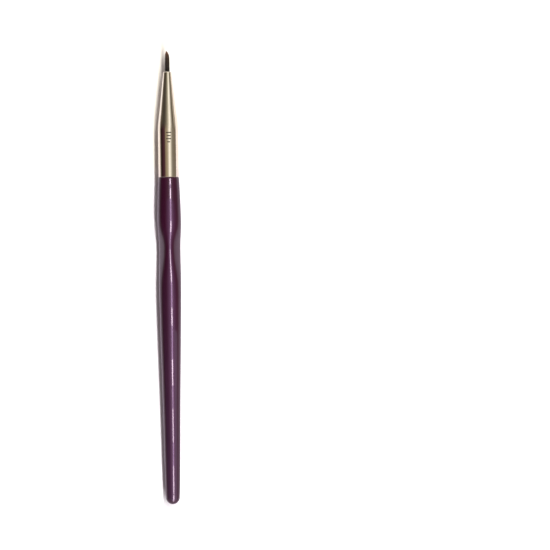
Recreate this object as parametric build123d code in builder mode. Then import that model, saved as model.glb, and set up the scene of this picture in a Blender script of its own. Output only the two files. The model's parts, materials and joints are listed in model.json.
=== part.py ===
"""A fine detail brush: a lacquered wooden handle with a three-sided finger grip, a drawn
metal ferrule, and a pointed tuft of hair that flexes at its base and above it.

The brush lies along +Y with its tip forward, and +Z is up. The origin is on the surface that it
lies on, under the middle of its length. Lengths are in millimetres. A station is a distance along
the brush from the end of the tail.
"""

from build123d import *
from math import acos, cos, degrees, radians, sin
import os

# Driving dimensions
overall_length = 175.0
shoulder_station = 126.1  # where the handle ends and the ferrule begins
mouth_station = 166.75  # the front edge of the ferrule

# Handle: radii of the lacquered surface
tail_radius = 2.68  # of the tail's round end
tail_slope = 2.5  # degrees, where the round end meets the taper
slim_radius = 3.0
slim_station = 14.0
mid_radius = 3.38
mid_station = 37.0
swell_radius = 3.98
swell_station = 65.0
rear_bulge_radius = 4.36
rear_bulge_station = 81.8
waist_radius = 4.25
waist_station = 98.8
front_bulge_radius = 4.56
front_bulge_station = 111.5
shoulder_radius = 4.0
coat_thickness = 0.15
coat_lip_radius = 0.35  # of the rounded edge at the shoulder
core_lip_radius = 0.25

# Finger grip: three scoops at 120 degrees, with a ridge on top
scoop_angles = (30, 150, 270)  # from +X, turning towards +Z
scoop_floor = 3.38  # from the axis to the deepest point
scoop_rear_radius = 75.0
scoop_front_radius = 24.0
scoop_rise = 2.5  # how far the cutter's arcs rise above its floor
scoop_reach = 9.0  # outer side of the cutter
scoop_half_width = 6.0

# Ferrule
ferrule_radius = 3.96
ferrule_wall = 0.38
ferrule_rear_edge = 0.1
cone_station = 143.4  # where the cylinder turns into the cone
cone_third_radius = 3.2
cone_third_station = 152.0
cone_late_radius = 2.35
cone_late_station = 159.8
mouth_radius = 1.62
mouth_wall = 0.6  # the wall thickens as the cone is drawn down
mouth_slope = -0.108

# Tenon and its glue
glue_gap = 0.06
tenon_length = 16.5
tenon_chamfer = 0.6
groove_depth = 0.25
groove_width = 0.8
groove_pitch = 4.0
groove_count = 3

# Hair
tuft_radius = 0.9
tuft_taper_radius = 0.8
tuft_taper_station = 172.1
tuft_late_radius = 0.56
tuft_late_station = 173.8
tip_radius = 0.06
root_radius = 1.7
root_station = 153.5  # the butt end of the hair
base_bend_rise = 0.3  # of the first bend over the end of the root
neck_length = 2.6  # from the first bend to the second
socket_clearance = 0.03

# Thread and resin
thread_radius = 0.13
thread_turns = 5
tie_station = 155.2
tie_depth = 0.12  # how far the tie squeezes the hair
resin_rear_station = 152.4
resin_front_station = 158.6

# Worked out from these
axis_height = front_bulge_radius
tail_y = -overall_length / 2
root_end_station = mouth_station - mouth_wall / 2  # where the lip starts to curl in
base_bend_station = root_end_station + base_bend_rise
neck_bend_station = base_bend_station + neck_length
neck_end_station = neck_bend_station - base_bend_rise
tenon_radius = ferrule_radius - ferrule_wall - glue_gap
bore_radius = ferrule_radius - ferrule_wall
tie_length = 2 * thread_radius * thread_turns

brush_axis = Axis((0, 0, axis_height), (0, 1, 0))


def meridian_plane(angle):
    """A plane through the brush's axis: local x is a radius, and local y is a station."""
    across = (cos(radians(angle)), 0, sin(radians(angle)))
    normal = (-sin(radians(angle)), 0, cos(radians(angle)))
    return Plane(origin=(0, tail_y, axis_height), x_dir=across, z_dir=normal)


def handle_outline(inset):
    """Half of the turned handle's outline, sunk by inset, from the tail to the shoulder."""
    with BuildSketch(meridian_plane(0)) as outline:
        with BuildLine():
            tail = CenterArc((0, tail_radius), tail_radius - inset, -90, 90 - tail_slope)
            taper = Spline(
                tail @ 1,
                (slim_radius - inset, slim_station),
                (mid_radius - inset, mid_station),
                (swell_radius - inset, swell_station),
                (rear_bulge_radius - inset, rear_bulge_station),
                tangents=[tail % 1, (0, 1)],
            )
            waist = Spline(
                taper @ 1,
                (waist_radius - inset, waist_station),
                (front_bulge_radius - inset, front_bulge_station),
                tangents=[(0, 1), (0, 1)],
            )
            front = Spline(
                waist @ 1,
                (shoulder_radius - inset, shoulder_station),
                tangents=[(0, 1), (-0.06, 1)],
            )
            Polyline(front @ 1, (0, shoulder_station), (0, inset))
        make_face()
    return outline.sketch


def scoop_outline(angle, inset):
    """The side of one scoop's cutter, sunk by inset, with a steep front and a long rear."""
    front_turn = degrees(acos(1 - scoop_rise / scoop_front_radius))
    rear_turn = degrees(acos(1 - scoop_rise / scoop_rear_radius))
    with BuildSketch(meridian_plane(angle)) as outline:
        with BuildLine():
            deepest = (scoop_floor - inset, waist_station)
            ahead = JernArc(deepest, (0, 1), scoop_front_radius, -front_turn)
            behind = JernArc(deepest, (0, -1), scoop_rear_radius, rear_turn)
            Polyline(
                ahead @ 1,
                (scoop_reach, (ahead @ 1).Y),
                (scoop_reach, (behind @ 1).Y),
                behind @ 1,
            )
        make_face()
    return outline.sketch


def ring_outline(inner, outer, start, end):
    """Half of a plain ring's outline, or of a disc's when inner is 0, between two stations."""
    with BuildSketch(meridian_plane(0)) as outline:
        with BuildLine():
            Polyline((inner, start), (outer, start), (outer, end), (inner, end), close=True)
        make_face()
    return outline.sketch


def cone_curve(inset, mouth_inset):
    """The outside of the ferrule's cone, sunk by inset, and by mouth_inset at the mouth."""
    return Spline(
        (ferrule_radius - inset, cone_station),
        (cone_third_radius - inset, cone_third_station),
        (cone_late_radius - inset, cone_late_station),
        (mouth_radius - mouth_inset, root_end_station),
        tangents=[(0, 1), (mouth_slope, 1)],
    )


with BuildPart() as handle_core:
    revolve(handle_outline(coat_thickness), axis=brush_axis)
    shoulder_edge = handle_core.edges().filter_by(GeomType.CIRCLE).sort_by(Axis.Y)[-1]
    fillet(shoulder_edge, radius=core_lip_radius)
    for scoop_angle in scoop_angles:
        side = scoop_outline(scoop_angle, coat_thickness)
        extrude(side, amount=scoop_half_width, both=True, mode=Mode.SUBTRACT)
    with BuildSketch(meridian_plane(0)):
        with BuildLine():
            tenon_end = shoulder_station + tenon_length
            Polyline(
                (0, shoulder_station),
                (tenon_radius, shoulder_station),
                (tenon_radius, tenon_end - tenon_chamfer),
                (tenon_radius - tenon_chamfer, tenon_end),
                (0, tenon_end),
                close=True,
            )
        make_face()
        for step in range(1, groove_count + 1):
            with Locations((tenon_radius, shoulder_station + groove_pitch * step)):
                Rectangle(2 * groove_depth, groove_width, mode=Mode.SUBTRACT)
    revolve(axis=brush_axis)

with BuildPart() as lacquer_coat:
    revolve(handle_outline(0), axis=brush_axis)
    shoulder_edge = lacquer_coat.edges().filter_by(GeomType.CIRCLE).sort_by(Axis.Y)[-1]
    fillet(shoulder_edge, radius=coat_lip_radius)
    for scoop_angle in scoop_angles:
        side = scoop_outline(scoop_angle, 0)
        extrude(side, amount=scoop_half_width, both=True, mode=Mode.SUBTRACT)
    add(handle_core.part, mode=Mode.SUBTRACT)

with BuildPart() as ferrule:
    with BuildSketch(meridian_plane(0)):
        with BuildLine():
            outside = cone_curve(0, 0)
            inside = cone_curve(ferrule_wall, mouth_wall)
            lip_radius = mouth_radius - mouth_wall / 2
            ThreePointArc(outside @ 1, (lip_radius, mouth_station), inside @ 1)
            Polyline(
                inside @ 0,
                (bore_radius, shoulder_station),
                (ferrule_radius, shoulder_station),
                outside @ 0,
            )
        make_face()
    revolve(axis=brush_axis)
    rear_edges = ferrule.edges().filter_by(GeomType.CIRCLE).group_by(Axis.Y)[0]
    fillet(rear_edges.sort_by(SortBy.RADIUS)[-1], radius=ferrule_rear_edge)

with BuildPart() as ferrule_bore:
    with BuildSketch(meridian_plane(0)):
        with BuildLine():
            wall = cone_curve(ferrule_wall, mouth_wall)
            Polyline(
                wall @ 1,
                (0, root_end_station),
                (0, shoulder_station),
                (bore_radius, shoulder_station),
                wall @ 0,
            )
        make_face()
    revolve(axis=brush_axis)

with BuildPart() as tenon_glue:
    glue_end = shoulder_station + tenon_length - tenon_chamfer
    film = ring_outline(tenon_radius - groove_depth, bore_radius, shoulder_station, glue_end)
    revolve(film, axis=brush_axis)
    add(handle_core.part, mode=Mode.SUBTRACT)

with BuildPart() as root_tie:
    with BuildSketch(meridian_plane(0)):
        with Locations((root_radius - tie_depth / 2, tie_station)):
            Rectangle(tie_depth, tie_length)
        for turn in range(thread_turns):
            turn_offset = (turn - (thread_turns - 1) / 2) * 2 * thread_radius
            with Locations((root_radius, tie_station + turn_offset)):
                Circle(thread_radius)
        with Locations((root_radius - tie_depth - thread_radius, tie_station)):
            Rectangle(2 * thread_radius, tie_length, mode=Mode.SUBTRACT)
    revolve(axis=brush_axis)

with BuildPart() as tuft_root:
    revolve(ring_outline(0, root_radius, root_station, root_end_station), axis=brush_axis)
    add(ferrule_bore.part, mode=Mode.INTERSECT)
    add(root_tie.part, mode=Mode.SUBTRACT)
    with Locations((0, tail_y + base_bend_station, axis_height)):
        Sphere(tuft_radius + socket_clearance, mode=Mode.SUBTRACT)

with BuildPart() as root_resin:
    plug = ring_outline(0, bore_radius, resin_rear_station, resin_front_station)
    revolve(plug, axis=brush_axis)
    add(ferrule_bore.part, mode=Mode.INTERSECT)
    add(tuft_root.part, mode=Mode.SUBTRACT)
    add(root_tie.part, mode=Mode.SUBTRACT)

with BuildPart() as tuft_neck:
    revolve(ring_outline(0, tuft_radius, base_bend_station, neck_end_station), axis=brush_axis)
    with Locations((0, tail_y + base_bend_station, axis_height)):
        Sphere(tuft_radius)
    with Locations((0, tail_y + neck_bend_station, axis_height)):
        Sphere(tuft_radius + socket_clearance, mode=Mode.SUBTRACT)

with BuildPart() as tuft_tip:
    with BuildSketch(meridian_plane(0)):
        with BuildLine():
            ball = ThreePointArc(
                (0, neck_bend_station - tuft_radius),
                (tuft_radius * sin(radians(45)), neck_bend_station - tuft_radius * cos(radians(45))),
                (tuft_radius, neck_bend_station),
            )
            hair = Spline(
                ball @ 1,
                (tuft_taper_radius, tuft_taper_station),
                (tuft_late_radius, tuft_late_station),
                (tip_radius, overall_length - tip_radius),
                tangents=[(0, 1), (-0.3, 1)],
            )
            Polyline(hair @ 1, (0, overall_length), ball @ 0)
        make_face()
    revolve(axis=brush_axis)

os.makedirs("parts", exist_ok=True)
pieces = {
    "handle_core": handle_core,
    "lacquer_coat": lacquer_coat,
    "ferrule": ferrule,
    "tenon_glue": tenon_glue,
    "tuft_root": tuft_root,
    "root_tie": root_tie,
    "root_resin": root_resin,
    "tuft_neck": tuft_neck,
    "tuft_tip": tuft_tip,
}
for name, piece in pieces.items():
    piece.part.label = name
    export_step(piece.part, f"parts/{name}.step")
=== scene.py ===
"""The looks of the fine detail brush: lacquered handle, polished ferrule, and a tuft of separate hairs.

Places are in metres, in the CAD model's frame: the brush lies along +Y with its tip forward, and +Z is
up. A station is a distance in millimetres along the brush from the end of the tail. Radii, and the other
sizes of the handle, the mark and the hair, are in millimetres too. Sizes of the stage are in metres.
"""

import json
import math
import random

import bpy
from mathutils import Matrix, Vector


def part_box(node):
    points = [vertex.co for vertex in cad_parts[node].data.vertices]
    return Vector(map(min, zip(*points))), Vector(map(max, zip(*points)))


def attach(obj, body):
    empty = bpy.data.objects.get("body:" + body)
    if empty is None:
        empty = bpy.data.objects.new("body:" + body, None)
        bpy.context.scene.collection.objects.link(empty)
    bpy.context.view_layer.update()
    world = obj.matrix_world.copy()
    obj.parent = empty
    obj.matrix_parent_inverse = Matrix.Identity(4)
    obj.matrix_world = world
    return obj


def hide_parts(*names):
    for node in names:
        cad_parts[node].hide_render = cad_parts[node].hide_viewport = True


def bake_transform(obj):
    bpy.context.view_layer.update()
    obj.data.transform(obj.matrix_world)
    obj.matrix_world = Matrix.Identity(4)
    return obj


MM = 0.001
MICRON = 0.000001
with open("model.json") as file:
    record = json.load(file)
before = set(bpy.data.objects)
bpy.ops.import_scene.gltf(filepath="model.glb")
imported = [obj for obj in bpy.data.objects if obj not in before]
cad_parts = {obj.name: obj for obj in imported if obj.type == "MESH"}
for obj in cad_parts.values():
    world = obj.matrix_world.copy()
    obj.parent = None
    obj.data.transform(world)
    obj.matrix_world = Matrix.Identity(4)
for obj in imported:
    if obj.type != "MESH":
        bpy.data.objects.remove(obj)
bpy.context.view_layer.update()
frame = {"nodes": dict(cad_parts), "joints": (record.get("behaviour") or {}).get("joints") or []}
nodes = frame["nodes"]

# Places taken from the frame
tail_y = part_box("lacquer_coat")[0].y
ferrule_low, ferrule_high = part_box("ferrule")
tip_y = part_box("tuft_tip")[1].y
axis_z = (ferrule_low.z + ferrule_high.z) / 2
overall_length = (tip_y - tail_y) / MM
shoulder_station = (ferrule_low.y - tail_y) / MM
mouth_station = (ferrule_high.y - tail_y) / MM
ferrule_radius = (ferrule_high.x - ferrule_low.x) / 2 / MM
bend_pivots = [(joint["pos_m"][1] - tail_y) / MM for joint in frame["joints"]]

# Handle, as in the CAD model but with the edges of the scoops rounded over
TAIL_RADIUS = 2.68  # the ball that ends the tail
TAIL_WIDENING = 0.02  # slope between the ball and the outline
HANDLE_OUTLINE = [  # station, radius
    (2.9, 2.695),
    (14.0, 3.0),
    (37.0, 3.38),
    (65.0, 3.98),
    (81.8, 4.29),
    (99.8, 4.56),
    (111.5, 4.56),
    (shoulder_station, 4.0),
]
TAIL_SLOPE = 0.05  # at the outline's first point
SHOULDER_SLOPE = -0.06  # at its last
REST_STATIONS = (81.8, 111.5)  # the two bulges that the brush lies on
LIP_ROUND = 0.35
LIP_TURNS = (10, 25, 40, 55, 70, 82, 90)  # degrees round the lip
COAT_THICKNESS = 0.15
COAT_START = 1.0  # where the coat's inside starts
SCOOP_ANGLES = (30, 150, 270)
SCOOP_STATION = 99.0
SCOOP_FLOOR = 3.5
SCOOP_REAR_RADIUS = 54.4
SCOOP_FRONT_RADIUS = 16.5
SCOOP_REACH = 0.95  # the share of those radii that a scoop takes up
SCOOP_CRISPNESS = 7.4  # a higher power makes crisper edges between the scoops

# Rings of the handle's mesh
AROUND = 192
CAP_DEGREES = range(5, 90, 5)
PLAIN_STEP = 0.7
GRIP_STEP = 0.35
GRIP_STATIONS = (80, 112)
INSIDE_EVERY = 3  # the coat's inside has a ring for every third one outside

# Tenon, as in the CAD model
TENON_RADIUS = 3.52
TENON_LENGTH = 16.5
TENON_CHAMFER = 0.6
GROOVE_COUNT = 3
GROOVE_PITCH = 4.0
GROOVE_WIDTH = 0.8
GROOVE_DEPTH = 0.25
CUT_EDGE = math.radians(35)  # a sharper turn than this is left as an edge

# Mark
MARK_STATION = 141.1
MARK_SHIFT = 0.3  # to the left of the top
MARK_INK = 0.008
MARK_SUNK = 0.02
MARK_STROKE = 0.42
MARK_BARS = [(2.1, 2.0), (0.9, 1.5), (-0.3, 1.9), (-1.5, 1.1)]  # along, and how long across
MARK_POINTS = 12  # along each edge of a bar

# Hair
HAIR_SEED = 7
HAIR_COUNT = 520
HAIR_RADIUS = 0.052
HAIR_SIDES = 6
HAIR_STEP = 0.45
HAIR_EDGE = math.radians(75)  # keeps the cut ends crisp and the sides smooth
HAIR_CROWDING = 0.38  # below a half, more of the hairs are near the tuft's surface
HAIR_JITTER = 0.06
HAIR_TWIST = 6
HAIR_WANDER = [(0.012, 1.7, 40), (0.01, 0.9, 90)]  # size, waves along, and difference between hairs
HAIR_END_SHARE = 0.12  # of its radius, at a hair's very end
HAIR_TAPER_POWER = 0.7
POINT_LENGTH = 3.0  # the stretch that narrows to the point, in each hair and in the tuft
LONGEST_HAIR_GAP = 0.02
END_SCATTER = 0.4
END_SCATTER_INSIDE = 0.35
END_SCATTER_OUTSIDE = 1.5
RIGHT_SHORTER = 0.4
TUFT_OUTLINE = [  # station, radius
    (mouth_station - 6.0, 1.0),
    (mouth_station - 0.6, 0.97),
    (mouth_station + 0.7, 0.93),
    (mouth_station + 2.2, 0.9),
    (mouth_station + 3.9, 0.89),
    (mouth_station + 5.5, 0.88),
    (mouth_station + 6.6, 0.78),
    (mouth_station + 7.4, 0.5),
    (overall_length, 0.05),
]
TUFT_END_SLOPE = -0.35
TUFT_LEAN = 0.34  # how far the tuft's point is to the left of its axis
HAIR_START = mouth_station - 2.2
SPLIT_STATION = bend_pivots[1] - 0.2  # where the lower and upper lengths of hair meet

# Camera
CAMERA_DISTANCE = 1.2
SENSOR_WIDTH = 36.0
FRAME_WIDTH = 0.2121
ROLL = math.radians(-0.757)
SIDE_STEP = 0.04047
UP_STEP = 0.0009

# Floor. The tints are painted shade colour: a purplish one by the handle and a warmer one by the
# ferrule, standing in for light bounced into the shadow. They are seen only in the shadow, because the
# rest is lit to white. The reflected colours are painted reflections: what the lacquer and the ferrule
# see of the floor, dark beyond either side
FLOOR_HALF = 1.6
FLOOR_CLEARANCE = 0.00002
FLOOR_LEFT_END = (-0.034, -0.024)
FLOOR_RIGHT_END = (0.05, 0.085)
FLOOR_CHANGE = (0.012, 0.020)  # Y on the floor, from the handle's colours to the ferrule's
FLOOR_PAINTED_SHADE_TINTS = ((0.85, 0.84, 0.86), (0.75, 0.725, 0.65))
FLOOR_REFLECTED = ((0.52, 0.455, 0.54), (0.62, 0.61, 0.60))
FLOOR_REFLECTED_BEYOND = (0.14, 0.125, 0.11)

# Surroundings: degrees from overhead, to the right, and the colour there
OVERHEAD_STOPS = [
    (-86, (0.020, 0.012, 0.010)),
    (-71, (0.036, 0.014, 0.018)),
    (-56, (0.060, 0.022, 0.030)),
    (-43, (0.080, 0.032, 0.042)),
    (-36, (0.110, 0.060, 0.062)),
    (-31, (0.270, 0.215, 0.150)),
    (-12, (0.380, 0.325, 0.220)),
    (-4, (0.480, 0.430, 0.330)),
    (4, (0.740, 0.710, 0.620)),
    (11, (1.130, 1.110, 1.030)),
    (18, (1.180, 1.160, 1.060)),
    (28, (0.840, 0.810, 0.720)),
    (39, (0.400, 0.370, 0.310)),
    (51, (0.235, 0.210, 0.165)),
    (80, (0.205, 0.175, 0.135)),
]
FORWARD_STOPS = [
    (-83, (0.100, 0.082, 0.060)),
    (-63, (0.066, 0.055, 0.042)),
    (-45, (0.066, 0.056, 0.044)),
    (-28, (0.135, 0.118, 0.090)),
    (-11, (0.310, 0.290, 0.230)),
    (5, (0.620, 0.585, 0.470)),
    (13, (1.000, 0.980, 0.890)),
    (21, (1.250, 1.240, 1.170)),
    (29, (0.960, 0.950, 0.880)),
    (38, (0.620, 0.600, 0.520)),
    (46, (0.310, 0.280, 0.235)),
    (53, (0.190, 0.165, 0.135)),
    (64, (0.110, 0.095, 0.075)),
    (72, (0.250, 0.225, 0.185)),
    (80, (0.560, 0.510, 0.430)),
    (90, (0.420, 0.380, 0.310)),
]
LEVEL_COLOUR = (1.35, 1.30, 1.20)  # low and straight ahead, where the ferrule's lip faces
BEHIND_COLOUR = (0.75, 0.66, 0.70)
FORWARD_FROM = (0.10, 0.20)  # how much a direction points along +Y, where each colour takes over
LEVEL_FROM = (0.62, 0.70)
BEHIND_FROM = (-0.15, -0.5)
DIFFUSE_SHARE = 0.44  # how much of the surroundings' light the matte surfaces get
SHADOW_TINT = (1.08, 0.98, 1.13)  # what that light's colour is multiplied by
CAMERA_EXTRA = 0.05  # makes the background plain white

# Key light
KEY_LEAN = math.radians(17.8)
KEY_ANGLE = math.radians(8.0)
KEY_TILTS = range(-54, 55, 12)
KEY_ENERGY = 6.1
KEY_COLOUR = (1.0, 0.985, 0.97)

# Strip of panels that the lacquer's long highlight mirrors
STRIP_HEIGHT = 0.05
STRIP_LEAN = math.radians(16.4)
STRIP_WIDTH = 0.0088
STRIP_COLOUR = (1.0, 0.78, 0.95)
STRIP_PANELS = [  # first and last station that each bright panel is mirrored at, and its strength
    (4.2, 15, 33),
    (24, 37, 31),
    (46, 56, 36),
    (69, 76, 34),
    (86, 98.4, 34),
    (104, 109, 36),
    (117.5, 121.5, 38),
    (123, 126, 38),
]
STRIP_BEHIND = (-220, -4.6, 42)  # where it starts and ends above the brush, and its strength
GAP_STRENGTH = 11
GAP_COLOUR = (0.86, 0.54, 1.0)
SIDE_ENDS = (-110, 62)
SIDE_LEAN = math.radians(60)
SIDE_WIDTH = 0.07
SIDE_STRENGTH = 1.3
SIDE_COLOUR = (0.76, 0.81, 1.0)

# Glowing sheet: degrees from overhead, to the right, and the share of the colour there
SHEET_HEIGHT = 0.06
SHEET_SIDES = (-0.35, 0.22)
SHEET_ENDS = (-120.0, 123.0)
GLOW_COLOUR = (0.73, 0.32, 1.09)
GLOW_STOPS = [
    (-34, 0.0),
    (-24, 0.3),
    (-13, 0.75),
    (-3, 1.0),
    (30, 1.0),
    (45, 0.75),
    (60, 0.3),
    (74, 0.0),
]
FILL_COLOUR = (0.25, 0.38, 0.64)
FILL_STOPS = [(-80, 1.0), (-10, 1.0), (12, 0.3), (30, 0.0)]
FILL_STATIONS = (105.0, -25.0)  # where it starts, and where it is at its strongest


# ---------------------------------------------------------------- helpers


def at(station, radius=0.0, angle=0.0):
    """A point at a station, a radius and an angle from +X towards +Z."""
    return Vector(
        (
            radius * math.cos(angle) * MM,
            tail_y + station * MM,
            axis_z + radius * math.sin(angle) * MM,
        )
    )


def follow(outline, station, start_slope=0.0, end_slope=0.0):
    """The radius at a station on a smooth curve through an outline's points."""
    slopes = [start_slope]
    for before, here, after in zip(outline, outline[1:], outline[2:]):
        left = (here[1] - before[1]) / (here[0] - before[0])
        right = (after[1] - here[1]) / (after[0] - here[0])
        slopes.append(0.0 if left * right < 0 else (left + right) / 2)
    slopes.append(end_slope)
    index = 0
    while index < len(outline) - 2 and station > outline[index + 1][0]:
        index += 1
    (x0, y0), (x1, y1) = outline[index], outline[index + 1]
    span = x1 - x0
    t = min(max((station - x0) / span, 0.0), 1.0)
    rise = t * t * (3 - 2 * t)
    return (
        y0 * (1 - rise)
        + y1 * rise
        + slopes[index] * span * t * (1 - t) ** 2
        - slopes[index + 1] * span * t * t * (1 - t)
    )


def make_mesh(name, vertices, faces, flat_faces=()):
    """A smooth-shaded object made of these vertices and faces, with some faces left flat."""
    mesh = bpy.data.meshes.new(name)
    mesh.from_pydata(vertices, [], faces)
    mesh.polygons.foreach_set("use_smooth", [True] * len(faces))
    for index in flat_faces:
        mesh.polygons[index].use_smooth = False
    mesh.update()
    obj = bpy.data.objects.new(name, mesh)
    bpy.context.scene.collection.objects.link(obj)
    return obj


def bridge(first, second, count):
    """The quads between two rings of vertices."""
    return [
        (first + i, second + i, second + (i + 1) % count, first + (i + 1) % count)
        for i in range(count)
    ]


def make_closed(name, start, rings, end):
    """A closed skin from a point at its start, through rings of (station, radius), to one at its end.

    A ring's radius is a number, or a function of the angle.
    """
    angles = [2 * math.pi * i / AROUND for i in range(AROUND)]
    vertices = [at(start)]
    for station, radius in rings:
        vertices.extend(at(station, radius(a) if callable(radius) else radius, a) for a in angles)
    vertices.append(at(end))
    last = len(vertices) - 1
    faces = [(0, 1 + i, 1 + (i + 1) % AROUND) for i in range(AROUND)]
    for index in range(len(rings) - 1):
        faces += bridge(1 + index * AROUND, 1 + (index + 1) * AROUND, AROUND)
    ring = last - AROUND
    faces += [(ring + i, last, ring + (i + 1) % AROUND) for i in range(AROUND)]
    return make_mesh(name, vertices, faces)


# ---------------------------------------------------------------- handle


def turned_radius(station):
    """The handle's radius as it was turned, before the scoops were cut."""
    if station < TAIL_RADIUS:
        return math.sqrt(max(TAIL_RADIUS**2 - (TAIL_RADIUS - station) ** 2, 0.0))
    if station < HANDLE_OUTLINE[0][0]:
        return TAIL_RADIUS + TAIL_WIDENING * (station - TAIL_RADIUS)
    return follow(HANDLE_OUTLINE, station, TAIL_SLOPE, SHOULDER_SLOPE)


def handle_radius(station, angle):
    """The lacquered handle's radius, with the three scoops blended in."""
    radius = turned_radius(station)
    along = station - SCOOP_STATION
    bend = SCOOP_FRONT_RADIUS if along > 0 else SCOOP_REAR_RADIUS
    if abs(along) > bend * SCOOP_REACH:
        return radius
    floor = SCOOP_FLOOR + bend - math.sqrt(bend * bend - along * along)
    crowding = 1.0
    for scoop in SCOOP_ANGLES:
        facing = max(math.cos(angle - math.radians(scoop)), 0.0)
        crowding += (radius * facing / floor) ** SCOOP_CRISPNESS
    return radius / crowding ** (1 / SCOOP_CRISPNESS)


def handle_ring(station, inset=0.0):
    """A ring on the handle's surface, or under it."""
    return station, lambda angle: handle_radius(station, angle) - inset


def handle_stations():
    """Stations up to the lip, close together where the shape turns quickly."""
    stations = [TAIL_RADIUS * (1 - math.cos(math.radians(a))) for a in CAP_DEGREES]
    station = TAIL_RADIUS
    grip_start, grip_end = GRIP_STATIONS
    while station < shoulder_station - LIP_ROUND:
        stations.append(station)
        station += GRIP_STEP if grip_start < station < grip_end else PLAIN_STEP
    return stations


def make_handle_skin():
    """The lacquer: an outer skin, a rounded lip at the shoulder, and the inside against the wood."""
    stations = handle_stations()
    rings = [handle_ring(station) for station in stations]
    for turn in LIP_TURNS:
        back = LIP_ROUND * (1 - math.sin(math.radians(turn)))
        drop = LIP_ROUND * (1 - math.cos(math.radians(turn)))
        rings.append(handle_ring(shoulder_station - back, drop))
    inside = [station for station in stations if station > COAT_START][::-INSIDE_EVERY]
    for station in [shoulder_station, *inside]:
        rings.append(handle_ring(station, COAT_THICKNESS))
    return make_closed("lacquer_skin", 0, rings, COAT_THICKNESS)


def make_handle_wood():
    """The bare wood under the lacquer, with a grooved tenon that the ferrule is glued onto."""
    stations = [station for station in handle_stations() if station > COAT_START]
    rings = [handle_ring(station, COAT_THICKNESS) for station in [*stations, shoulder_station]]
    rings.append((shoulder_station, TENON_RADIUS))
    bottom = TENON_RADIUS - GROOVE_DEPTH
    for step in range(1, GROOVE_COUNT + 1):
        middle = shoulder_station + GROOVE_PITCH * step
        rear, front = middle - GROOVE_WIDTH / 2, middle + GROOVE_WIDTH / 2
        rings += [(rear, TENON_RADIUS), (rear, bottom), (front, bottom), (front, TENON_RADIUS)]
    end = shoulder_station + TENON_LENGTH
    rings += [(end - TENON_CHAMFER, TENON_RADIUS), (end, TENON_RADIUS - TENON_CHAMFER)]
    wood = make_closed("turned_wood", COAT_THICKNESS, rings, end)
    wood.data.set_sharp_from_angle(angle=CUT_EDGE)
    return wood


# ---------------------------------------------------------------- hair


def hair_paths():
    """Each hair's share of the tuft's radius, its angle, its end station and its own random number."""
    chance = random.Random(HAIR_SEED)
    golden = math.pi * (3 - math.sqrt(5))
    for index in range(HAIR_COUNT):
        share = ((index + 0.5) / HAIR_COUNT) ** HAIR_CROWDING
        angle = index * golden + chance.uniform(-HAIR_JITTER, HAIR_JITTER)
        spread = END_SCATTER_INSIDE + END_SCATTER_OUTSIDE * share * share
        end = overall_length - LONGEST_HAIR_GAP - abs(chance.gauss(0, END_SCATTER)) * spread
        end -= max(math.cos(angle), 0) * RIGHT_SHORTER * share
        yield share, angle, max(end, overall_length - POINT_LENGTH), chance.random()


def hair_centre(share, angle, station, sway):
    """The middle of a hair at a station. The tuft's point is a touch left of its axis."""
    envelope = max(follow(TUFT_OUTLINE, station, 0.0, TUFT_END_SLOPE) - HAIR_RADIUS, 0.0)
    wander = sum(size * math.sin(station * waves + sway * own) for size, waves, own in HAIR_WANDER)
    place = at(station, envelope * share + wander * share, angle)
    late = max(station - (overall_length - POINT_LENGTH), 0.0) / POINT_LENGTH
    place.x -= TUFT_LEAN * late * late * MM
    return place


def hair_ring(centre, radius, sway):
    """The points round a hair, turned by its own random number."""
    turns = [2 * math.pi * side / HAIR_SIDES + sway * HAIR_TWIST for side in range(HAIR_SIDES)]
    return [centre + Vector((math.cos(turn), 0, math.sin(turn))) * radius * MM for turn in turns]


def make_hair(name, start, end):
    """The lengths of all hairs between two stations, as closed tapered tubes."""
    vertices, faces, flat, tones, shades = [], [], [], [], []
    for share, angle, hair_end, sway in hair_paths():
        stop = min(end, hair_end)
        steps = max(int((stop - start) / HAIR_STEP), 3)
        base = len(vertices)
        for step in range(steps + 1):
            station = start + (stop - start) * step / steps
            left = max(hair_end - station, 0.0)
            taper = min(1.0, HAIR_END_SHARE + (left / POINT_LENGTH) ** HAIR_TAPER_POWER)
            centre = hair_centre(share, angle, station, sway)
            vertices += hair_ring(centre, HAIR_RADIUS * taper, sway)
            tone = (station - mouth_station) / (overall_length - mouth_station)
            tones += [tone] * HAIR_SIDES
            shades += [sway] * HAIR_SIDES
        for step in range(steps):
            ring = base + step * HAIR_SIDES
            faces += bridge(ring, ring + HAIR_SIDES, HAIR_SIDES)
        flat += [len(faces), len(faces) + 1]
        top = base + steps * HAIR_SIDES
        faces.append(tuple(base + side for side in range(HAIR_SIDES)))
        faces.append(tuple(top + side for side in reversed(range(HAIR_SIDES))))
    obj = make_mesh(name, vertices, faces, flat)
    obj.data.set_sharp_from_angle(angle=HAIR_EDGE)
    for label, values in (("along", tones), ("strand", shades)):
        obj.data.attributes.new(label, "FLOAT", "POINT").data.foreach_set("value", values)
    return obj


# ---------------------------------------------------------------- mark


def on_ferrule(around, along, lift):
    """A point on the ferrule, in millimetres from the mark's middle."""
    middle = math.pi / 2 - MARK_SHIFT / ferrule_radius
    return at(MARK_STATION + along, ferrule_radius + lift, middle - around / ferrule_radius)


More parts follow.
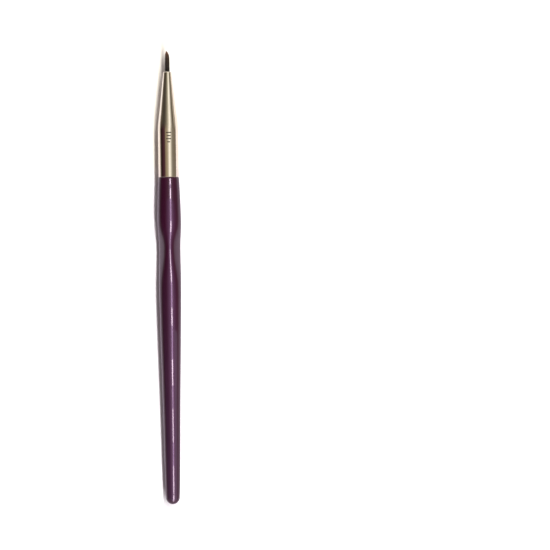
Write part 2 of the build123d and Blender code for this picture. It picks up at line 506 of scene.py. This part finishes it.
def make_size_mark():
    """A generic printed mark: four short bars across the ferrule."""
    vertices, faces = [], []
    count = MARK_POINTS
    for along, wide in MARK_BARS:
        base = len(vertices)
        places = [wide * (step / (count - 1) - 0.5) for step in range(count)]
        for lift in (-MARK_SUNK, MARK_INK):
            for edge in (-MARK_STROKE / 2, MARK_STROKE / 2):
                vertices += [on_ferrule(place, along + edge, lift) for place in places]
        low_rear, low_front, high_rear, high_front = (base + count * i for i in range(4))
        for first, second in (
            (high_rear, high_front),
            (low_front, low_rear),
            (low_rear, high_rear),
            (high_front, low_front),
        ):
            for i in range(count - 1):
                faces.append((first + i, first + i + 1, second + i + 1, second + i))
        faces.append((low_rear, high_rear, high_front, low_front))
        far_end = (low_front, high_front, high_rear, low_rear)
        faces.append(tuple(corner + count - 1 for corner in far_end))
    mark = make_mesh("size_mark", vertices, faces)
    mark.data.set_sharp_from_angle(angle=CUT_EDGE)
    return mark


# ---------------------------------------------------------------- materials


class Shader:
    """A small helper for building the nodes of a material or a world."""

    def __init__(self, owner):
        owner.use_nodes = True
        self.material = owner
        self.tree = owner.node_tree
        self.surface = self.tree.nodes.get("Principled BSDF")

    def node(self, kind, inputs=None, **settings):
        """Adds a node, sets its properties, and sets or links its inputs."""
        made = self.tree.nodes.new(kind)
        for key, value in settings.items():
            setattr(made, key, value)
        for key, value in (inputs or {}).items():
            self.feed(made.inputs[key], value)
        return made

    def feed(self, socket, value):
        """Links a socket to another, or sets it."""
        if isinstance(value, bpy.types.NodeSocket):
            self.tree.links.new(value, socket)
        else:
            socket.default_value = value

    def set(self, **inputs):
        """Sets or links the surface's inputs, with _ for a space in their names."""
        for key, value in inputs.items():
            self.feed(self.surface.inputs[key.replace("_", " ")], value)

    def ramp(self, factor, stops):
        """A colour ramp over stops of (place, colour)."""
        made = self.node("ShaderNodeValToRGB", {0: factor})
        elements = made.color_ramp.elements
        while len(elements) < len(stops):
            elements.new(0.5)
        for element, (place, colour) in zip(elements, stops):
            element.position = place
            element.color = (*colour, 1)
        return made.outputs[0]

    def fan(self, across, up, stops):
        """A colour ramp over stops of (degrees from overhead, colour), by a direction's lean."""
        lean = self.math("ARCTAN2", across, up)
        share = self.spread(lean, 0.0, 1.0, -math.pi / 2, math.pi / 2)
        return self.ramp(share, [((degrees + 90) / 180, colour) for degrees, colour in stops])

    def noise(self, scale, detail, stretch=(1, 1, 1)):
        """Noise over the object, in features per metre, stretched along its axes."""
        where = self.node("ShaderNodeTexCoord").outputs["Object"]
        mapped = self.node("ShaderNodeMapping", {"Vector": where, "Scale": stretch}).outputs[0]
        inputs = {"Vector": mapped, "Scale": scale, "Detail": detail, "Roughness": 0.5}
        return self.node("ShaderNodeTexNoise", inputs).outputs["Fac"]

    def split(self, coordinates):
        """The X, Y and Z of a place on the object, or of a direction from the world's middle."""
        where = self.node("ShaderNodeTexCoord").outputs[coordinates]
        return self.node("ShaderNodeSeparateXYZ", {0: where}).outputs

    def spread(self, value, low, high, start=0.0, end=1.0):
        """Maps a value from one range, 0 to 1 unless another is given, onto another range."""
        ranges = {"From Min": start, "From Max": end, "To Min": low, "To Max": high}
        return self.node("ShaderNodeMapRange", {"Value": value, **ranges}).outputs[0]

    def math(self, operation, first, second):
        """A sum with two numbers."""
        return self.node("ShaderNodeMath", {0: first, 1: second}, operation=operation).outputs[0]

    def vector_math(self, operation, first, second):
        """A sum with two colours or places, or with one of them and a number to scale it by."""
        inputs = {0: first, "Scale" if operation == "SCALE" else 1: second}
        return self.node("ShaderNodeVectorMath", inputs, operation=operation).outputs[0]

    def mix(self, share, first, second):
        """A colour between two others."""
        blend = self.node("ShaderNodeMix", data_type="RGBA")
        for name, value in (("Factor", share), ("A", first), ("B", second)):
            wanted = "VALUE" if name == "Factor" else "RGBA"
            socket = next(s for s in blend.inputs if s.name == name and s.type == wanted)
            if wanted == "RGBA" and isinstance(value, tuple):
                value = (*value, 1)
            self.feed(socket, value)
        return next(s for s in blend.outputs if s.type == "RGBA")

    def bump(self, height, distance, strength, normal=None):
        """A bumpy normal, on top of another one if it is given."""
        inputs = {"Height": height, "Distance": distance, "Strength": strength}
        if normal:
            inputs["Normal"] = normal
        return self.node("ShaderNodeBump", inputs).outputs[0]


def lacquer_material():
    """Dark aubergine lacquer under a clear gloss, with faint ripples, pits and dulled patches."""
    shader = Shader(bpy.data.materials.new("aubergine_lacquer"))
    tone = shader.noise(90, 3)
    colour = shader.ramp(tone, [(0.3, (0.0205, 0.0016, 0.0098)), (0.7, (0.0250, 0.0026, 0.0128))])
    ripple = shader.noise(420, 2, (1, 0.35, 1))
    specks = shader.noise(5200, 1)
    pits = shader.ramp(specks, [(0.0, (0, 0, 0)), (0.26, (0.9, 0.9, 0.9)), (0.32, (1, 1, 1))])
    wavy = shader.bump(ripple, 20 * MICRON, 0.3)
    pitted = shader.bump(pits, 5 * MICRON, 0.3, wavy)
    haze = shader.spread(shader.noise(260, 4, (1, 0.2, 1)), 0.01, 0.05)
    shader.set(Base_Color=colour, Roughness=0.34, Specular_IOR_Level=0.2)
    shader.set(Coat_Weight=1.0, Coat_Roughness=haze, Coat_IOR=1.36)
    shader.set(Normal=wavy, Coat_Normal=pitted)
    return shader.material


def ferrule_material():
    """Polished pale champagne metal with drawing lines along it and a few fine scratches."""
    shader = Shader(bpy.data.materials.new("champagne_metal"))
    lines = shader.noise(9000, 2, (1, 0.012, 1))
    cross = shader.noise(2600, 2, (0.15, 1, 0.15))
    cloud = shader.noise(160, 4)
    colour = shader.ramp(cloud, [(0.3, (0.86, 0.77, 0.655)), (0.7, (0.91, 0.83, 0.73))])
    rough = shader.spread(lines, 0.045, 0.13)
    drawn = shader.bump(lines, 1.2 * MICRON, 0.5)
    scratched = shader.bump(cross, 1.5 * MICRON, 0.25, drawn)
    shader.set(Base_Color=colour, Metallic=1.0, Roughness=rough, Normal=scratched)
    return shader.material


def hair_material():
    """Dark brown hair, nearly black at the ferrule and golden brown at its point."""
    shader = Shader(bpy.data.materials.new("brush_hair"))
    along = shader.node("ShaderNodeAttribute", attribute_name="along").outputs["Fac"]
    strand = shader.node("ShaderNodeAttribute", attribute_name="strand").outputs["Fac"]
    stops = [
        (0.0, (0.006, 0.0045, 0.0035)),
        (0.25, (0.013, 0.009, 0.0065)),
        (0.60, (0.024, 0.0155, 0.0105)),
        (0.76, (0.045, 0.024, 0.014)),
        (0.88, (0.100, 0.044, 0.024)),
        (1.0, (0.170, 0.100, 0.055)),
    ]
    fine = shader.spread(shader.noise(6000, 2, (1, 0.1, 1)), 0.8, 1.2)
    gain = shader.math("MULTIPLY", shader.spread(strand, 0.65, 1.5), fine)
    tinted = shader.vector_math("SCALE", shader.ramp(along, stops), gain)
    scales = shader.bump(shader.noise(30000, 1, (1, 0.4, 1)), 1.5 * MICRON, 0.4)
    shader.set(Base_Color=tinted, Roughness=0.38, Normal=scales)
    shader.set(Specular_IOR_Level=0.3, Sheen_Weight=0.05, Sheen_Roughness=0.4)
    return shader.material


def ink_material():
    """Dark printing ink, thin in places."""
    shader = Shader(bpy.data.materials.new("printed_ink"))
    worn = shader.noise(3500, 3)
    colour = shader.ramp(worn, [(0.35, (0.06, 0.05, 0.035)), (0.7, (0.15, 0.125, 0.095))])
    shader.set(Base_Color=colour, Metallic=0.7, Roughness=shader.spread(worn, 0.35, 0.55))
    shader.set(Normal=shader.bump(worn, 4 * MICRON, 0.5))
    return shader.material


def grained_material(name, dark, light, scale, roughness, depth, stretch=(1, 1, 1)):
    """A simple grained material for the parts that are out of sight."""
    shader = Shader(bpy.data.materials.new(name))
    grain = shader.noise(scale, 5, stretch)
    shader.set(Base_Color=shader.ramp(grain, [(0.3, dark), (0.7, light)]))
    shader.set(Roughness=shader.spread(grain, roughness, roughness + 0.2))
    shader.set(Normal=shader.bump(grain, depth * MICRON, 0.6))
    return shader.material


def root_material():
    """The hair inside the ferrule."""
    dark, light = (0.01, 0.007, 0.005), (0.03, 0.02, 0.014)
    return grained_material("root_hair", dark, light, 9000, 0.4, 10, (1, 0.05, 1))


def wood_material():
    """Bare birch with its grain along the handle."""
    dark, light = (0.42, 0.27, 0.14), (0.62, 0.44, 0.26)
    return grained_material("birch_wood", dark, light, 900, 0.5, 20, (1, 0.06, 1))


def glue_material():
    """Cured glue."""
    return grained_material("cured_glue", (0.5, 0.42, 0.25), (0.6, 0.52, 0.34), 500, 0.3, 10)


def resin_material():
    """Cured amber resin."""
    return grained_material("cured_resin", (0.32, 0.18, 0.05), (0.45, 0.28, 0.1), 500, 0.2, 10)


def thread_material():
    """Waxed thread."""
    return grained_material("tying_thread", (0.3, 0.27, 0.2), (0.55, 0.5, 0.4), 5000, 0.6, 20)


def dress(obj, material):
    """Gives every material slot of an object this material."""
    if not obj.material_slots:
        obj.data.materials.append(material)
    for slot in obj.material_slots:
        slot.material = material


# ---------------------------------------------------------------- stage


def make_camera():
    """A long lens straight above, a little to the brush's right."""
    camera = bpy.data.cameras.new("camera")
    camera.sensor_width = SENSOR_WIDTH
    camera.lens = SENSOR_WIDTH * CAMERA_DISTANCE / FRAME_WIDTH
    camera.clip_end = 20
    obj = bpy.data.objects.new("camera", camera)
    right = Vector((math.cos(ROLL), math.sin(ROLL), 0))
    up = Vector((-math.sin(ROLL), math.cos(ROLL), 0))
    middle = at(overall_length / 2)
    obj.location = middle + right * SIDE_STEP + up * UP_STEP + Vector((0, 0, CAMERA_DISTANCE))
    obj.rotation_euler = (0, 0, ROLL)
    bpy.context.scene.collection.objects.link(obj)
    bpy.context.scene.camera = obj


def floor_material():
    """White, with a painted shade tint that shows only in the shadow. Reflections see other colours
    painted in, and dark beyond either side.
    """
    shader = Shader(bpy.data.materials.new("white_floor"))
    place = shader.split("Object")
    left = shader.spread(place["X"], 0.0, 1.0, *FLOOR_LEFT_END)
    right = shader.spread(place["X"], 1.0, 0.0, *FLOOR_RIGHT_END)
    near = shader.math("MULTIPLY", left, right)
    ahead = shader.spread(place["Y"], 0.0, 1.0, *FLOOR_CHANGE)
    shade = shader.spread(shader.noise(700, 3), 0.98, 1.02)
    # painted shade: the floor's tint changes from the handle's to the ferrule's, colouring the shadow as
    # bounced light would
    white_with_painted_shade = shader.vector_math("SCALE", shader.mix(ahead, *FLOOR_PAINTED_SHADE_TINTS), shade)
    # painted reflection: the colours that the lacquer and the ferrule mirror of the floor
    mirrored = shader.mix(near, FLOOR_REFLECTED_BEYOND, shader.mix(ahead, *FLOOR_REFLECTED))
    glossy = shader.node("ShaderNodeLightPath").outputs["Is Glossy Ray"]
    shader.set(Base_Color=shader.mix(glossy, white_with_painted_shade, mirrored), Roughness=0.6)
    shader.set(Specular_IOR_Level=0.0)
    return shader.material


def make_floor():
    """A white floor that both bulges rest on."""
    down = -math.pi / 2
    rear, front = (at(station, handle_radius(station, down), down) for station in REST_STATIONS)
    half = FLOOR_HALF
    corners = [(-half, -half, 0), (half, -half, 0), (half, half, 0), (-half, half, 0)]
    floor = make_mesh("floor", corners, [(0, 1, 2, 3)])
    floor.rotation_euler.x = math.atan2(front.z - rear.z, front.y - rear.y)
    floor.location = front - Vector((0, 0, FLOOR_CLEARANCE))
    dress(floor, floor_material())


def make_world():
    """Soft surroundings that change with the angle from overhead, and plain white to the camera."""
    world = bpy.data.worlds.new("surroundings")
    bpy.context.scene.world = world
    shader = Shader(world)
    way = shader.split("Generated")
    overhead = shader.fan(way["X"], way["Z"], OVERHEAD_STOPS)
    forward = shader.fan(way["X"], way["Z"], FORWARD_STOPS)
    colour = shader.mix(shader.spread(way["Y"], 0.0, 1.0, *FORWARD_FROM), overhead, forward)
    colour = shader.mix(shader.spread(way["Y"], 0.0, 1.0, *LEVEL_FROM), colour, LEVEL_COLOUR)
    colour = shader.mix(shader.spread(way["Y"], 0.0, 1.0, *BEHIND_FROM), colour, BEHIND_COLOUR)
    rays = shader.node("ShaderNodeLightPath").outputs
    shaded = shader.vector_math("MULTIPLY", colour, SHADOW_TINT)
    colour = shader.mix(rays["Is Diffuse Ray"], colour, shaded)
    colour = shader.mix(rays["Is Camera Ray"], colour, (1, 1, 1))
    strength = shader.spread(rays["Is Diffuse Ray"], 1.0, DIFFUSE_SHARE)
    extra = shader.math("MULTIPLY", rays["Is Camera Ray"], CAMERA_EXTRA)
    background = shader.tree.nodes["Background"].inputs
    shader.feed(background["Color"], colour)
    shader.feed(background["Strength"], shader.math("ADD", strength, extra))


def make_key_light():
    """A long soft light in line with the brush, from the right. It makes no highlight of its own."""
    for index, tilt in enumerate(KEY_TILTS):
        light = bpy.data.lights.new(f"key_{index}", "SUN")
        light.energy = KEY_ENERGY / len(KEY_TILTS)
        light.angle = KEY_ANGLE
        light.color = KEY_COLOUR
        obj = bpy.data.objects.new(f"key_{index}", light)
        obj.rotation_euler = (math.radians(tilt), KEY_LEAN, 0)
        obj.visible_glossy = False
        bpy.context.scene.collection.objects.link(obj)


def hide_from_all_but(receivers, obj):
    """Leaves a light, or a glowing sheet, to be seen in these objects' reflections alone."""
    obj.visible_camera = False
    obj.visible_diffuse = False
    obj.visible_transmission = False
    obj.light_linking.receiver_collection = receivers


def panel_station(station):
    """Where above the brush a panel's edge is, to be mirrored at this station of the handle."""
    slope = 2 * (turned_radius(station) - turned_radius(station - 0.5))
    beyond = (station - overall_length / 2) * STRIP_HEIGHT / CAMERA_DISTANCE
    return station + beyond - 2 * slope * STRIP_HEIGHT / MM


def make_panel(name, ends, lean, width, strength, colour, receivers):
    """A flat light above the brush, between two stations."""
    start, end = ends
    light = bpy.data.lights.new(name, "AREA")
    light.shape = "RECTANGLE"
    light.size = width
    light.size_y = (end - start) * MM
    light.color = colour
    light.energy = strength * light.size * light.size_y * math.pi
    obj = bpy.data.objects.new(name, light)
    overhead = Vector((STRIP_HEIGHT * math.tan(lean), 0, STRIP_HEIGHT))
    obj.location = at((start + end) / 2) + overhead
    obj.rotation_euler = (0, lean, 0)
    bpy.context.scene.collection.objects.link(obj)
    hide_from_all_but(receivers, obj)


def make_strip(receivers):
    """Bright panels with dimmer lilac ones between them, and a broad dim one beside the tail."""
    strip = (STRIP_LEAN, STRIP_WIDTH)
    start, last, strength = STRIP_BEHIND
    make_panel("strip_behind", (start, last), *strip, strength, STRIP_COLOUR, receivers)
    for index, (start, end, strength) in enumerate(STRIP_PANELS):
        first, second = panel_station(start), panel_station(end)
        if index > 0:
            gap = (last, first)
            make_panel(f"strip_gap_{index}", gap, *strip, GAP_STRENGTH, GAP_COLOUR, receivers)
        panel = (first, second)
        make_panel(f"strip_panel_{index}", panel, *strip, strength, STRIP_COLOUR, receivers)
        last = second
    side = (SIDE_ENDS, SIDE_LEAN, SIDE_WIDTH, SIDE_STRENGTH, SIDE_COLOUR)
    make_panel("side_panel", *side, receivers)


def glow_material():
    """A lilac glow overhead, and a bluer one at the left that grows towards the tail."""
    shader = Shader(bpy.data.materials.new("faint_glow"))
    place = shader.split("Object")
    glow, fill = (
        shader.fan(place["X"], SHEET_HEIGHT, [(degrees, (level,) * 3) for degrees, level in stops])
        for stops in (GLOW_STOPS, FILL_STOPS)
    )
    fade = shader.spread(place["Y"], 0.0, 1.0, *(at(station).y for station in FILL_STATIONS))
    glow = shader.vector_math("MULTIPLY", glow, GLOW_COLOUR)
    fill = shader.vector_math("MULTIPLY", fill, FILL_COLOUR)
    total = shader.vector_math("ADD", glow, shader.vector_math("SCALE", fill, fade))
    light = shader.node("ShaderNodeEmission", {"Color": total}).outputs[0]
    clear = shader.node("ShaderNodeBsdfTransparent").outputs[0]
    both = shader.node("ShaderNodeAddShader", {0: light, 1: clear}).outputs[0]
    shader.feed(shader.tree.nodes["Material Output"].inputs["Surface"], both)
    return shader.material


def make_sheet(receivers):
    """A faintly glowing clear sheet above the handle."""
    (left, right), (rear, front) = SHEET_SIDES, (at(station).y for station in SHEET_ENDS)
    corners = [(left, rear), (right, rear), (right, front), (left, front)]
    height = axis_z + SHEET_HEIGHT
    sheet = make_mesh("glow_sheet", [(x, y, height) for x, y in corners], [(0, 1, 2, 3)])
    dress(sheet, glow_material())
    sheet.visible_shadow = False
    hide_from_all_but(receivers, sheet)


# ---------------------------------------------------------------- pieces

skin = make_handle_skin()
dress(skin, lacquer_material())
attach(skin, "brush")
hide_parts("lacquer_coat")

hair = hair_material()
lower = make_hair("tuft_lower_hairs", HAIR_START, SPLIT_STATION)
upper = make_hair("tuft_upper_hairs", SPLIT_STATION, overall_length)
for piece, node, slot in ((lower, "tuft_neck", "hair"), (upper, "tuft_tip", "hair_tip")):
    dress(piece, hair)
    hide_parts(node)
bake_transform(lower)
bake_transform(upper)

mark = make_size_mark()
dress(mark, ink_material())
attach(mark, "brush")

wood = make_handle_wood()
dress(wood, wood_material())
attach(wood, "brush")
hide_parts("handle_core")

dress(nodes["ferrule"], ferrule_material())
dress(nodes["tuft_root"], root_material())
dress(nodes["tenon_glue"], glue_material())
dress(nodes["root_resin"], resin_material())
dress(nodes["root_tie"], thread_material())

# ---------------------------------------------------------------- scene

make_camera()
make_floor()
make_world()
make_key_light()
lacquered = bpy.data.collections.new("lacquered")  # what the strip and the sheet shine on
lacquered.objects.link(skin)
make_strip(lacquered)
make_sheet(lacquered)
bpy.context.scene.view_settings.view_transform = "Standard"
